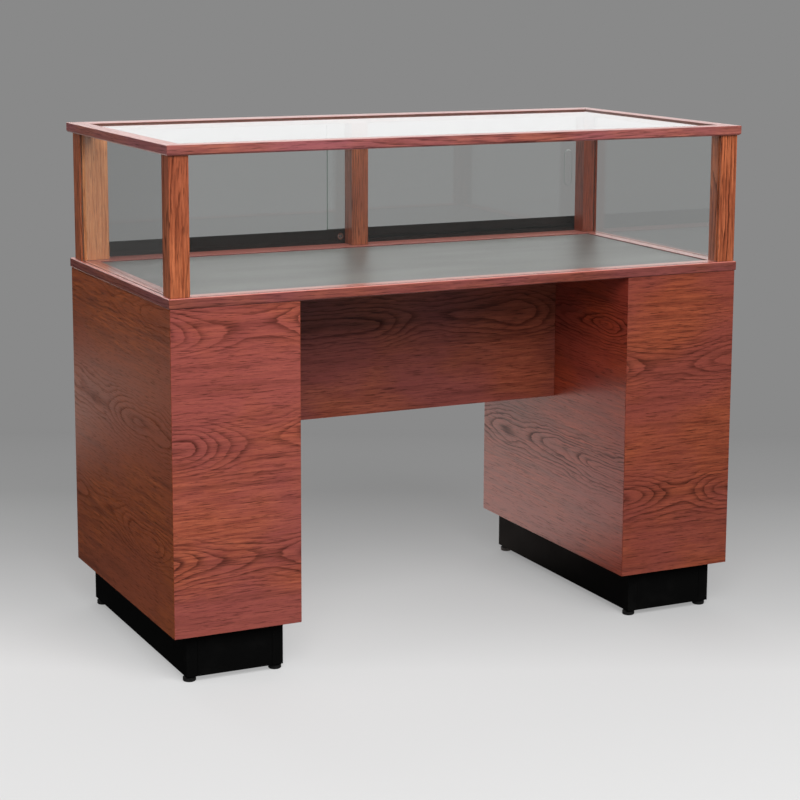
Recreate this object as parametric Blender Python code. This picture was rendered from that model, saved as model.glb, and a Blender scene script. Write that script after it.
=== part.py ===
"""Kneehole glass display case: two panelled pedestals carry a wood-rimmed deck and a glazed box.

The glazed box has wooden posts, panes in grooves, a glass top in a wooden frame and two glass doors
that slide at the back. Metres, +Z up, +X along the counter, -Y towards the customer. The origin is on
the floor under the middle of the case.
"""

import math

import bmesh
import bpy

# Fits
FIT = 0.0003
MITRE_TRIM = FIT / math.sqrt(2)

# Heights, from the floor up
FOOT_HEIGHT = 0.011
PLINTH_HEIGHT = 0.084
PEDESTAL_HEIGHT = 0.616
RIM_THICKNESS = 0.019
POST_LENGTH = 0.257
TOP_THICKNESS = 0.019

# Pedestals and the panel between them
PEDESTAL_WIDTH = 0.254
PANEL_THICKNESS = 0.019
MODESTY_THICKNESS = 0.019
MODESTY_HEIGHT = 0.293
MODESTY_SETBACK = 0.286

# Plinths and levelling feet
PLINTH_THICKNESS = 0.022
PLINTH_SIDE_SETBACK = 0.030
PLINTH_END_SETBACK = 0.021
FOOT_RADIUS = 0.0125
FOOT_PAD_HEIGHT = 0.0075
FOOT_EASE = 0.0015
FOOT_COLLAR_RADIUS = 0.008
FOOT_STEM_RADIUS = 0.004
FOOT_STEM_LENGTH = 0.030
FOOT_END_INSET = 0.016
FOOT_BORE_SPARE = 0.004

# Deck
DECK_WIDTH = 1.220
DECK_DEPTH = 0.606
DECK_OVERHANG = 0.002
DECK_RECESS = 0.002
DECK_EASE = 0.0015
BACK_LEDGE = 0.020

# Posts and panes
POST_SIZE = 0.038
POST_INSET = 0.004
JAMB_WIDTH = 0.027
JAMB_SETBACK = 0.003
GLASS_THICKNESS = 0.006
GLASS_LIP = 0.005
POST_GROOVE = 0.008
RAIL_GROOVE = 0.004

# Top frame
TOP_OVERHANG_SIDE = 0.001
TOP_OVERHANG_END = 0.003
TOP_RECESS = 0.003
TOP_REBATE = 0.010
TOP_CHAMFER = 0.003
SEAL_WIDTH = 0.0026
SEAL_DROP = 0.0005

# Sliding doors and their tracks
TRACK_INSET = 0.002
TRACK_WALL = 0.0012
TRACK_FLOOR = 0.0016
TRACK_STOP = 0.003
TRACK_END_CLEARANCE = 0.001
LOWER_TRACK_HEIGHT = 0.008
UPPER_TRACK_HEIGHT = 0.014
UPPER_TRACK_DROP = 0.004
UPPER_PLAY = 0.0008
DOOR_TOP_PLAY = 0.0036
DOOR_OVERLAP = 0.080
SHOE_THICKNESS = 0.0086
SHOE_POCKET = 0.0076
PULL_WIDTH = 0.020
PULL_LENGTH = 0.080
PULL_DEPTH = 0.002
PULL_INSET = 0.030

# Door lock
PLUNGER_RADIUS = 0.0034
PLUNGER_PROUD = 0.0038
LOCK_WALL = 0.0015
LOCK_FLANGE_RADIUS = 0.0069
LOCK_FLANGE_THICKNESS = 0.002
STRIKE_FLANGE_THICKNESS = 0.0006
LOCK_MARGIN = 0.0004
LOCK_END_INSET = 0.025
KEYWAY_WIDTH = 0.0011
KEYWAY_LENGTH = 0.0044
KEYWAY_DEPTH = 0.003

# Round pieces
ROUND_SIDES = 32
PULL_ARC_STEPS = 8
SMOOTH_ANGLE = math.radians(30)

# Levels
plinth_low = FOOT_HEIGHT
pedestal_low = plinth_low + PLINTH_HEIGHT
deck_low = pedestal_low + PEDESTAL_HEIGHT
deck_top = deck_low + RIM_THICKNESS
top_low = deck_top + POST_LENGTH
top_top = top_low + TOP_THICKNESS

# Plan of the pedestals
pedestal_depth = DECK_DEPTH - 2 * DECK_OVERHANG
pedestal_x = DECK_WIDTH / 2 - DECK_OVERHANG - PEDESTAL_WIDTH / 2
kneehole_half = pedestal_x - PEDESTAL_WIDTH / 2
plinth_half_width = PEDESTAL_WIDTH / 2 - PLINTH_SIDE_SETBACK
plinth_half_depth = pedestal_depth / 2 - PLINTH_END_SETBACK

# Plan of the glazed box
deck_half_width = DECK_WIDTH / 2
deck_half_depth = DECK_DEPTH / 2
top_half_width = deck_half_width + TOP_OVERHANG_SIDE
top_half_depth = deck_half_depth + TOP_OVERHANG_END
post_outer = deck_half_width - POST_INSET
post_inner = post_outer - POST_SIZE
post_front = deck_half_depth - POST_INSET
groove_width = GLASS_THICKNESS + 2 * FIT

# Plan of the door tracks, which run along the back of the deck behind the posts
channel_width = SHOE_THICKNESS + 2 * FIT
channel_pitch = channel_width + TRACK_WALL
track_depth = 2 * channel_width + 3 * TRACK_WALL
track_back = deck_half_depth - TRACK_INSET
track_front = track_back - track_depth
front_channel = track_front + TRACK_WALL + channel_width / 2
back_channel = front_channel + channel_pitch
back_post_back = track_front - FIT
back_post_front = back_post_back - POST_SIZE

# Widths of the deck's and the top frame's rails
rim_width = POST_INSET + POST_SIZE
back_rim_width = deck_half_depth - back_post_front + BACK_LEDGE
top_side_width = top_half_width - post_inner
top_front_width = top_half_depth - post_front + POST_SIZE
top_back_width = top_half_depth - back_post_front

# Edges of the glass top, in the rebate of its frame
top_seat = TOP_REBATE - FIT
top_pane_x = top_half_width - top_side_width + top_seat
top_pane_front = -top_half_depth + top_front_width - top_seat
top_pane_back = top_half_depth - top_back_width + top_seat
top_pane_top = top_top - TOP_RECESS

# Upper track's groove in the back rail, and the length that the side rails' mitres leave
upper_groove_low = top_half_depth - track_back - FIT
upper_groove_high = top_half_depth - track_front + FIT
upper_groove_depth = UPPER_TRACK_HEIGHT - UPPER_TRACK_DROP + FIT
track_half = (
    top_half_width
    - upper_groove_high * top_side_width / top_back_width
    - TRACK_END_CLEARANCE
)

# Doors and lock
door_end = track_half - TRACK_STOP - FIT
door_width = door_end + DOOR_OVERLAP / 2
left_door_x = -door_end + door_width / 2
right_door_x = door_end - door_width / 2
lower_track_low = deck_top + FIT
lower_track_top = lower_track_low + LOWER_TRACK_HEIGHT
upper_track_low = top_low - UPPER_TRACK_DROP
shoe_low = lower_track_low + TRACK_FLOOR + FIT
lock_z = lower_track_top + LOCK_MARGIN + LOCK_FLANGE_RADIUS
pocket_low = lock_z + LOCK_FLANGE_RADIUS + LOCK_MARGIN
shoe_top = pocket_low + SHOE_POCKET
door_glass_low = pocket_low + FIT
door_glass_top = upper_track_low + UPPER_TRACK_HEIGHT - TRACK_WALL - DOOR_TOP_PLAY
lock_x = -DOOR_OVERLAP / 2 + LOCK_END_INSET
plunger_bore = PLUNGER_RADIUS + FIT
lock_radius = plunger_bore + LOCK_WALL


def clear_scene():
    for item in list(bpy.data.objects):
        bpy.data.objects.remove(item)


def make_material(name, colour, roughness, metallic=0.0, transmission=0.0):
    material = bpy.data.materials.new(name)
    material.use_nodes = True
    shader = material.node_tree.nodes["Principled BSDF"]
    shader.inputs["Base Color"].default_value = (*colour, 1.0)
    shader.inputs["Roughness"].default_value = roughness
    shader.inputs["Metallic"].default_value = metallic
    shader.inputs["Transmission Weight"].default_value = transmission
    return material


def add_empty(name, location, parent=None):
    empty = bpy.data.objects.new(name, None)
    empty.location = location
    empty.parent = parent
    bpy.context.scene.collection.objects.link(empty)
    return empty


def add_piece(name, shape, material, parent, location, rotation=(0.0, 0.0, 0.0)):
    """Turn a bmesh into a named object, with its faces pointing out."""
    bmesh.ops.recalc_face_normals(shape, faces=shape.faces)
    mesh = bpy.data.meshes.new(name)
    shape.to_mesh(mesh)
    shape.free()
    mesh.materials.append(material)
    piece = bpy.data.objects.new(name, mesh)
    piece.location = location
    piece.rotation_euler = rotation
    piece.parent = parent
    bpy.context.scene.collection.objects.link(piece)
    return piece


def join_loops(first, second):
    """Closed solid between two outlines with the same number of points."""
    shape = bmesh.new()
    near = [shape.verts.new(point) for point in first]
    far = [shape.verts.new(point) for point in second]
    count = len(near)
    shape.faces.new(near)
    shape.faces.new(far)
    for i in range(count):
        j = (i + 1) % count
        shape.faces.new((near[i], near[j], far[j], far[i]))
    return shape


def box(name, low, high, material, parent=None):
    """Box between two corners, with its origin at its middle."""
    half = [(b - a) / 2 for a, b in zip(low, high)]
    middle = [(a + b) / 2 for a, b in zip(low, high)]
    corners = [(-half[0], -half[1]), (half[0], -half[1]), (half[0], half[1]), (-half[0], half[1])]
    shape = join_loops([(x, y, -half[2]) for x, y in corners], [(x, y, half[2]) for x, y in corners])
    return add_piece(name, shape, material, parent, middle)


def prism(name, outline, height, material, parent, location, rotation=(0.0, 0.0, 0.0)):
    """Outline in X and Y, raised along Z."""
    shape = join_loops([(x, y, 0.0) for x, y in outline], [(x, y, height) for x, y in outline])
    return add_piece(name, shape, material, parent, location, rotation)


def bar(name, length, profile, material, parent, location, turn=0.0, mitres=None):
    """Profile of (distance inwards, height) points drawn along X, with its outer face towards -Y.

    mitres gives, for the -X and the +X end, how far the end runs back for each unit inwards.
    """
    trim = MITRE_TRIM if mitres else 0.0
    left, right = mitres or (0.0, 0.0)
    first = [(-length / 2 + inward * left + trim, inward, z) for inward, z in profile]
    second = [(length / 2 - inward * right - trim, inward, z) for inward, z in profile]
    shape = join_loops(first, second)
    return add_piece(name, shape, material, parent, location, (0.0, 0.0, turn))


def ring_points(radius, z):
    angles = [2 * math.pi * i / ROUND_SIDES for i in range(ROUND_SIDES)]
    return [(radius * math.cos(a), radius * math.sin(a), z) for a in angles]


def turned(name, profile, material, parent, location, rotation=(0.0, 0.0, 0.0), hollow=False):
    """Profile of (radius, height) points turned about Z. A hollow one closes on itself, around a bore."""
    shape = bmesh.new()
    rings = [[shape.verts.new(p) for p in ring_points(radius, z)] for radius, z in profile]
    pairs = list(zip(rings, rings[1:]))
    if hollow:
        pairs.append((rings[-1], rings[0]))
    else:
        shape.faces.new(rings[0])
        shape.faces.new(rings[-1])
    for lower, upper in pairs:
        for i in range(ROUND_SIDES):
            j = (i + 1) % ROUND_SIDES
            shape.faces.new((lower[i], lower[j], upper[j], upper[i]))
    piece = add_piece(name, shape, material, parent, location, rotation)
    piece.data.shade_smooth()
    piece.data.set_sharp_from_angle(angle=SMOOTH_ANGLE)
    return piece


def cut(piece, cutter):
    """Take a cutter's shape out of a piece."""
    cutter.hide_render = True
    cutter.display_type = "WIRE"
    modifier = piece.modifiers.new(f"cut_{cutter.name}", "BOOLEAN")
    modifier.operation = "DIFFERENCE"
    modifier.object = cutter


FACE_BACK = math.pi
FACE_LEFT = -math.pi / 2
FACE_RIGHT = math.pi / 2
AXIS_BACK = (-math.pi / 2, 0.0, 0.0)

clear_scene()

# Finishes
oak = make_material("stained_oak", (0.24, 0.065, 0.042), 0.42)
oak_post = make_material("post_oak", (0.33, 0.10, 0.045), 0.42)
laminate = make_material("deck_laminate", (0.26, 0.25, 0.24), 0.25)
black_board = make_material("plinth_black", (0.008, 0.008, 0.008), 0.45)
clear_glass = make_material("clear_glass", (0.95, 0.98, 0.96), 0.02, transmission=1.0)
black_metal = make_material("black_anodised", (0.02, 0.019, 0.018), 0.38, metallic=0.6)
chrome = make_material("lock_chrome", (0.62, 0.63, 0.62), 0.18, metallic=1.0)
black_nylon = make_material("foot_nylon", (0.012, 0.012, 0.012), 0.55)
sealant = make_material("glazing_seal", (0.30, 0.31, 0.31), 0.35)


def mitred_box_wall(name, length, parent, location, turn):
    height = PEDESTAL_HEIGHT - FIT
    profile = [(0.0, 0.0), (PANEL_THICKNESS, 0.0), (PANEL_THICKNESS, height), (0.0, height)]
    return bar(name, length, profile, oak, parent, location, turn, mitres=(1.0, 1.0))


def pedestal(hand, side):
    """Mitred box of four panels, closed by a floor and a top panel inside them."""
    group = add_empty(f"{hand}_pedestal", (side * pedestal_x, 0.0, pedestal_low))
    half_width = PEDESTAL_WIDTH / 2
    half_depth = pedestal_depth / 2
    outwards = FACE_RIGHT * side
    mitred_box_wall(f"{hand}_pedestal_front", PEDESTAL_WIDTH, group, (0.0, -half_depth, 0.0), 0.0)
    mitred_box_wall(f"{hand}_pedestal_back", PEDESTAL_WIDTH, group, (0.0, half_depth, 0.0), FACE_BACK)
    mitred_box_wall(
        f"{hand}_pedestal_outer_side", pedestal_depth, group, (side * half_width, 0.0, 0.0), outwards
    )
    mitred_box_wall(
        f"{hand}_pedestal_inner_side", pedestal_depth, group, (-side * half_width, 0.0, 0.0), -outwards
    )
    x = half_width - PANEL_THICKNESS - FIT
    y = half_depth - PANEL_THICKNESS - FIT
    top = PEDESTAL_HEIGHT - FIT
    box(f"{hand}_pedestal_floor", (-x, -y, 0.0), (x, y, PANEL_THICKNESS), oak, group)
    box(f"{hand}_pedestal_top", (-x, -y, top - PANEL_THICKNESS), (x, y, top), oak, group)


def foot(name, parent, location):
    """Glide with an eased pad, a collar that seats under the plinth, and a stem in the plinth's bore."""
    seat = FOOT_HEIGHT - FIT
    profile = [
        (FOOT_RADIUS - FOOT_EASE, 0.0),
        (FOOT_RADIUS, FOOT_EASE),
        (FOOT_RADIUS, FOOT_PAD_HEIGHT),
        (FOOT_COLLAR_RADIUS, seat),
        (FOOT_STEM_RADIUS, seat),
        (FOOT_STEM_RADIUS, seat + FOOT_STEM_LENGTH),
    ]
    turned(name, profile, black_nylon, parent, location)


def foot_bore(name, parent, location):
    """Blind hole for a foot's stem, open below the plinth."""
    radius = FOOT_STEM_RADIUS + FIT
    profile = [(radius, -FOOT_BORE_SPARE), (radius, FOOT_STEM_LENGTH + FOOT_BORE_SPARE)]
    return turned(name, profile, black_board, parent, location)


def plinth(hand, side):
    """Black base of four boards. The side boards run through, and the feet screw into them."""
    group = add_empty(f"{hand}_plinth", (side * pedestal_x, 0.0, 0.0))
    x = plinth_half_width
    y = plinth_half_depth
    inner = x - PLINTH_THICKNESS
    top = pedestal_low - FIT
    boards = {}
    for place, sign in (("outer", side), ("inner", -side)):
        low_x = min(sign * inner, sign * x)
        name = f"{hand}_plinth_{place}_side"
        boards[place] = box(
            name, (low_x, -y, plinth_low), (low_x + PLINTH_THICKNESS, y, top), black_board, group
        )
    span = inner - FIT
    box(
        f"{hand}_plinth_front",
        (-span, -y, plinth_low),
        (span, -y + PLINTH_THICKNESS, top),
        black_board,
        group,
    )
    box(
        f"{hand}_plinth_back",
        (-span, y - PLINTH_THICKNESS, plinth_low),
        (span, y, top),
        black_board,
        group,
    )
    foot_x = x - PLINTH_THICKNESS / 2
    foot_y = y - FOOT_END_INSET
    for end, end_sign in (("front", -1), ("back", 1)):
        for place, sign in (("outer", side), ("inner", -side)):
            name = f"{hand}_foot_{end}_{place}"
            foot(name, group, (sign * foot_x, end_sign * foot_y, 0.0))
            bore = foot_bore(f"{name}_bore", group, (sign * foot_x, end_sign * foot_y, plinth_low))
            cut(boards[place], bore)


def modesty_panel():
    """Panel that hangs under the deck, between the pedestals."""
    front = -pedestal_depth / 2 + MODESTY_SETBACK
    reach = kneehole_half - FIT
    top = deck_low - FIT
    box(
        "modesty_panel",
        (-reach, front, top - MODESTY_HEIGHT),
        (reach, front + MODESTY_THICKNESS, top),
        oak,
    )


def rim_profile(width, groove_at=None):
    """Deck rail: outer edges eased, with a groove in its top for a pane."""
    profile = [(DECK_EASE, 0.0), (0.0, DECK_EASE)]
    profile += [(0.0, RIM_THICKNESS - DECK_EASE), (DECK_EASE, RIM_THICKNESS)]
    if groove_at is not None:
        floor = RIM_THICKNESS - RAIL_GROOVE
        far = groove_at + groove_width
        profile += [(groove_at, RIM_THICKNESS), (groove_at, floor)]
        profile += [(far, floor), (far, RIM_THICKNESS)]
    return profile + [(width, RIM_THICKNESS), (width, 0.0)]


def deck():
    """Four mitred rails round a panel that lies a little lower than they do."""
    group = add_empty("deck", (0.0, 0.0, deck_low))
    groove_at = POST_INSET + GLASS_LIP - FIT
    grooved = rim_profile(rim_width, groove_at)
    plain = rim_profile(back_rim_width)
    to_back = back_rim_width / rim_width
    front = (0.0, -deck_half_depth, 0.0)
    back = (0.0, deck_half_depth, 0.0)
    left = (-deck_half_width, 0.0, 0.0)
    right = (deck_half_width, 0.0, 0.0)
    bar("deck_rail_front", DECK_WIDTH, grooved, oak, group, front, mitres=(1.0, 1.0))
    bar("deck_rail_back", DECK_WIDTH, plain, oak, group, back, FACE_BACK, (1 / to_back, 1 / to_back))
    bar("deck_rail_left", DECK_DEPTH, grooved, oak, group, left, FACE_LEFT, (to_back, 1.0))
    bar("deck_rail_right", DECK_DEPTH, grooved, oak, group, right, FACE_RIGHT, (1.0, to_back))
    x = deck_half_width - rim_width - FIT
    y_low = -deck_half_depth + rim_width + FIT
    y_high = deck_half_depth - back_rim_width - FIT
    box("deck_panel", (-x, y_low, 0.0), (x, y_high, RIM_THICKNESS - DECK_RECESS), laminate, group)


def post_outline(side, end, inner_groove):
    """Square post measured from its outer corner, with grooves for the panes that run into it."""
    near = GLASS_LIP - FIT
    far = near + groove_width
    floor = POST_SIZE - POST_GROOVE
    points = [(0.0, 0.0), (POST_SIZE, 0.0)]
    if inner_groove:
        points += [(POST_SIZE, near), (floor, near), (floor, far), (POST_SIZE, far)]
    points += [(POST_SIZE, POST_SIZE), (far, POST_SIZE), (far, floor), (near, floor), (near, POST_SIZE)]
    points += [(0.0, POST_SIZE)]
    return [(-side * x, -end * y) for x, y in points]


def posts():
    """Corner posts, the middle post at the back and the jamb beside the back left post."""
    low = deck_top + FIT
    height = POST_LENGTH - 2 * FIT
    for hand, side in (("left", -1), ("right", 1)):
        front = post_outline(side, -1, inner_groove=True)
        back = post_outline(side, 1, inner_groove=False)
        front_corner = (side * post_outer, -post_front, low)
        back_corner = (side * post_outer, back_post_back, low)
        prism(f"post_front_{hand}", front, height, oak_post, None, front_corner)
        prism(f"post_back_{hand}", back, height, oak_post, None, back_corner)
    jamb_edge = -post_inner + FIT + JAMB_WIDTH
    box(
        "door_jamb_left",
        (-post_inner + FIT, back_post_front + JAMB_SETBACK, low),
        (jamb_edge, back_post_back, low + height),
        oak_post,
    )
    middle = (jamb_edge + post_inner) / 2
    box(
        "post_back_middle",
        (middle - POST_SIZE / 2, back_post_front, low),
        (middle + POST_SIZE / 2, back_post_back, low + height),
        oak_post,
    )


def panes():
    """Front, side and top glass. The upright panes stand in the grooves of posts and rails."""
    low = deck_top - RAIL_GROOVE + FIT
    high = top_low + RAIL_GROOVE - FIT
    x = post_inner + POST_GROOVE - FIT
    y = -post_front + GLASS_LIP
    box("glass_front", (-x, y, low), (x, y + GLASS_THICKNESS, high), clear_glass)
    front = -post_front + POST_SIZE - POST_GROOVE + FIT
    back = back_post_front + POST_GROOVE - FIT
    for hand, side in (("left", -1), ("right", 1)):
        outer = side * (post_outer - GLASS_LIP)
        low_x = min(outer, outer - side * GLASS_THICKNESS)
        box(
            f"glass_{hand}", (low_x, front, low), (low_x + GLASS_THICKNESS, back, high), clear_glass
        )
    box(
        "glass_top",
        (-top_pane_x, top_pane_front, top_pane_top - GLASS_THICKNESS),
        (top_pane_x, top_pane_back, top_pane_top),
        clear_glass,
    )


def top_glass_seal():
    """Bead of sealant in the corner between the glass top and its frame, as one closed ring."""
    low = top_pane_top + FIT
    high = top_top - SEAL_DROP
    shape = bmesh.new()
    sections = []
    for x, y, to_x, to_y in (
        (-top_pane_x, top_pane_front, 1, 1),
        (top_pane_x, top_pane_front, -1, 1),
        (top_pane_x, top_pane_back, -1, -1),
        (-top_pane_x, top_pane_back, 1, -1),
    ):
        inner = (x + to_x * SEAL_WIDTH, y + to_y * SEAL_WIDTH, low)
        sections.append([shape.verts.new(point) for point in ((x, y, low), inner, (x, y, high))])
    for near, far in zip(sections, sections[1:] + sections[:1]):
        for i in range(len(near)):
            j = (i + 1) % len(near)
            shape.faces.new((near[i], near[j], far[j], far[i]))
    add_piece("top_glass_seal", shape, sealant, None, (0.0, 0.0, 0.0))


def top_profile(width, slot_low, slot_high, slot_depth):
    """Top rail: lower outer edge chamfered, slot below, and a rebate for the glass inside."""
    ledge = TOP_THICKNESS - TOP_RECESS - GLASS_THICKNESS - FIT
    rebate = width - TOP_REBATE
    profile = [(0.0, TOP_THICKNESS), (0.0, TOP_CHAMFER), (TOP_CHAMFER, 0.0)]
    profile += [(slot_low, 0.0), (slot_low, slot_depth), (slot_high, slot_depth), (slot_high, 0.0)]
    return profile + [(width, 0.0), (width, ledge), (rebate, ledge), (rebate, TOP_THICKNESS)]


def pane_slot(overhang):
    low = overhang + POST_INSET + GLASS_LIP - FIT
    return low, low + groove_width, RAIL_GROOVE


def top_frame():
    """Four mitred rails. The back one is wider, and holds the upper door track below."""
    group = add_empty("top_frame", (0.0, 0.0, top_low))
    front = top_profile(top_front_width, *pane_slot(TOP_OVERHANG_END))
    side = top_profile(top_side_width, *pane_slot(TOP_OVERHANG_SIDE))
    back = top_profile(top_back_width, upper_groove_low, upper_groove_high, upper_groove_depth)
    width = 2 * top_half_width
    depth = 2 * top_half_depth
    to_front = top_front_width / top_side_width
    to_back = top_back_width / top_side_width
    at_front = (0.0, -top_half_depth, 0.0)
    at_back = (0.0, top_half_depth, 0.0)
    at_left = (-top_half_width, 0.0, 0.0)
    at_right = (top_half_width, 0.0, 0.0)
    bar("top_rail_front", width, front, oak, group, at_front, 0.0, (1 / to_front, 1 / to_front))
    bar("top_rail_back", width, back, oak, group, at_back, FACE_BACK, (1 / to_back, 1 / to_back))
    bar("top_rail_left", depth, side, oak, group, at_left, FACE_LEFT, (to_back, to_front))
    bar("top_rail_right", depth, side, oak, group, at_right, FACE_RIGHT, (to_front, to_back))


def tracks():
    """Lower track with two channels closed at their ends, and upper track with two slots."""
    lower = box(
        "door_track_lower",
        (-track_half, track_front, lower_track_low),
        (track_half, track_back, lower_track_top),
        black_metal,
    )
    run = track_half - TRACK_STOP
    for name, line in (("front", front_channel), ("back", back_channel)):
        channel = box(
            f"{name}_channel",
            (-run, line - channel_width / 2, lower_track_low + TRACK_FLOOR),
            (run, line + channel_width / 2, lower_track_top + LOWER_TRACK_HEIGHT),
            black_metal,
        )
        cut(lower, channel)
    crown = UPPER_TRACK_HEIGHT - TRACK_WALL
    half_slot = GLASS_THICKNESS / 2 + UPPER_PLAY
    profile = [(0.0, 0.0)]
    for line in (front_channel, back_channel):
        near = line - track_front - half_slot
        far = line - track_front + half_slot
        profile += [(near, 0.0), (near, crown), (far, crown), (far, 0.0)]
    profile += [(track_depth, 0.0), (track_depth, UPPER_TRACK_HEIGHT), (0.0, UPPER_TRACK_HEIGHT)]
    place = (0.0, track_front, upper_track_low)
    bar("door_track_upper", 2 * track_half, profile, black_metal, None, place)


def shoe(name, parent):
    """Channel along the bottom of a door, with a pocket for its glass."""
    wall = (SHOE_THICKNESS - groove_width) / 2
    height = shoe_top - shoe_low
    floor = pocket_low - shoe_low
    profile = [(0.0, 0.0), (SHOE_THICKNESS, 0.0), (SHOE_THICKNESS, height)]
    profile += [(SHOE_THICKNESS - wall, height), (SHOE_THICKNESS - wall, floor)]
    profile += [(wall, floor), (wall, height), (0.0, height)]
    place = (0.0, -SHOE_THICKNESS / 2, shoe_low)
    return bar(name, door_width, profile, black_metal, parent, place)


def pull_outline():
    """Upright slot with round ends, for fingertips."""
    radius = PULL_WIDTH / 2
    straight = PULL_LENGTH / 2 - radius
    points = []
    for centre, start in ((straight, 0.0), (-straight, math.pi)):
        for i in range(PULL_ARC_STEPS + 1):
            angle = start + math.pi * i / PULL_ARC_STEPS
            points.append((radius * math.cos(angle), centre + radius * math.sin(angle)))
    return points


def door(hand, side, door_x, line):
    """Glass in its shoe, with a finger pull ground into the back of the glass near its outer end."""
    group = add_empty(f"{hand}_door", (door_x, line, 0.0))
    half = GLASS_THICKNESS / 2
    glass = box(
        f"{hand}_door_glass",
        (-door_width / 2, -half, door_glass_low),
        (door_width / 2, half, door_glass_top),
        clear_glass,
        group,
    )
    pull = prism(
        f"{hand}_finger_pull",
        pull_outline(),
        2 * PULL_DEPTH,
        clear_glass,
        group,
        (side * (door_width / 2 - PULL_INSET), half - PULL_DEPTH, (shoe_top + upper_track_low) / 2),
        AXIS_BACK,
    )
    cut(glass, pull)
    base = shoe(f"{hand}_door_shoe", group)
    reach = SHOE_THICKNESS
    hole = turned(
        f"{hand}_lock_hole",
        [(lock_radius + FIT, -reach), (lock_radius + FIT, reach)],
        black_metal,
        group,
        (lock_x - door_x, 0.0, lock_z),
        AXIS_BACK,
    )
    cut(base, hole)
    return group


def lock(left_door, right_door):
    """Push lock: a sleeve and a keyed plunger in the right door's shoe, and a ring in the left door's shoe."""
    half = SHOE_THICKNESS / 2
    seat = half + FIT
    sleeve = [
        (plunger_bore, -half),
        (lock_radius, -half),
        (lock_radius, seat),
        (LOCK_FLANGE_RADIUS, seat),
        (LOCK_FLANGE_RADIUS, seat + LOCK_FLANGE_THICKNESS),
        (plunger_bore, seat + LOCK_FLANGE_THICKNESS),
    ]
    strike = [
        (plunger_bore, -seat - STRIKE_FLANGE_THICKNESS),
        (LOCK_FLANGE_RADIUS, -seat - STRIKE_FLANGE_THICKNESS),
        (LOCK_FLANGE_RADIUS, -seat),
        (lock_radius, -seat),
        (lock_radius, half),
        (plunger_bore, half),
    ]
    plunger_end = seat + LOCK_FLANGE_THICKNESS + PLUNGER_PROUD
    plunger = [(PLUNGER_RADIUS, -half), (PLUNGER_RADIUS, plunger_end)]
    in_right = (lock_x - right_door_x, 0.0, lock_z)
    in_left = (lock_x - left_door_x, 0.0, lock_z)
    turned("lock_sleeve", sleeve, chrome, right_door, in_right, AXIS_BACK, hollow=True)
    turned("lock_strike", strike, chrome, left_door, in_left, AXIS_BACK, hollow=True)
    bolt = turned("lock_plunger", plunger, chrome, right_door, in_right, AXIS_BACK)
    x, _, z = in_right
    keyway = box(
        "keyway",
        (x - KEYWAY_WIDTH / 2, plunger_end - KEYWAY_DEPTH, z - KEYWAY_LENGTH / 2),
        (x + KEYWAY_WIDTH / 2, plunger_end + KEYWAY_DEPTH, z + KEYWAY_LENGTH / 2),
        chrome,
        right_door,
    )
    cut(bolt, keyway)


for hand, side in (("left", -1), ("right", 1)):
    pedestal(hand, side)
    plinth(hand, side)
modesty_panel()
deck()
posts()
panes()
top_glass_seal()
top_frame()
tracks()
lock(
    door("left", -1, left_door_x, front_channel),
    door("right", 1, right_door_x, back_channel),
)
bpy.context.view_layer.update()
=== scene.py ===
"""Looks of the kneehole display case: stained oak, glass, laminate and metal, on a pale studio floor."""

import math
from collections import namedtuple

import bpy
from mathutils import Matrix, Vector


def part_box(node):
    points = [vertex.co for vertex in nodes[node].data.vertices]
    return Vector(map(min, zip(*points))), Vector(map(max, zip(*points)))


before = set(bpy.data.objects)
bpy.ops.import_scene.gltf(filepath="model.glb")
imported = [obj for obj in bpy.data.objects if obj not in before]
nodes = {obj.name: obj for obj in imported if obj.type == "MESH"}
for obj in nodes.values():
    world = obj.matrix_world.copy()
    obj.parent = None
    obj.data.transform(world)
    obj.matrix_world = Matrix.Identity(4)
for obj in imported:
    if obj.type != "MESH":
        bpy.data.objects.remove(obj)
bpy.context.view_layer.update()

# Camera: metres and degrees, with its lens and sensor in millimetres
CAMERA_PLACE = (-1.822, -3.775, 1.313)
CAMERA_YAW = 25.70
CAMERA_PITCH = 9.60
CAMERA_ROLL = 0.22
CAMERA_LENS = 93.1
CAMERA_SENSOR = 36.0
CAMERA_SHIFT = -0.1

# Floor as the camera sees it: the grey at each distance along the view, and its share of even light
FLOOR_RADIUS = 40.0
FLOOR_SIDES = 96
FLOOR_TONES = ((-0.42, 0.73), (-0.04, 0.58), (0.41, 0.44), (0.95, 0.32), (1.60, 0.25))
FLOOR_GLOW = (0.55, 1.0)
GLOW_SPAN = (0.9, 1.7)

# Floor in bounced light and in gloss: a pale patch on dark, with soft edges. Its west edge slants. In gloss
# the patch glows though no lamp is there, which paints a pale reflection on the right pedestal's inner side
FLOOR_BOUNCE = (0.42, 0.42, 0.42)
SHEEN_PALE = (1.00, 0.85, 0.79)
SHEEN_DARK = (0.03, 0.03, 0.03)
SHEEN_SLANT = 0.48
SHEEN_WEST = (-0.15, 0.10)
SHEEN_SOUTH = (0.0, 0.4)
SHEEN_NORTH = (2.4, 3.2)

# World: the light it gives, and its grey in gloss, through glass and to the camera
WORLD_STRENGTH = 0.15
WORLD_GREYS = {"Is Glossy Ray": 0.10, "Is Transmission Ray": 0.28, "Is Camera Ray": 0.25}
WHITE = (1.0, 1.0, 1.0)

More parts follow.
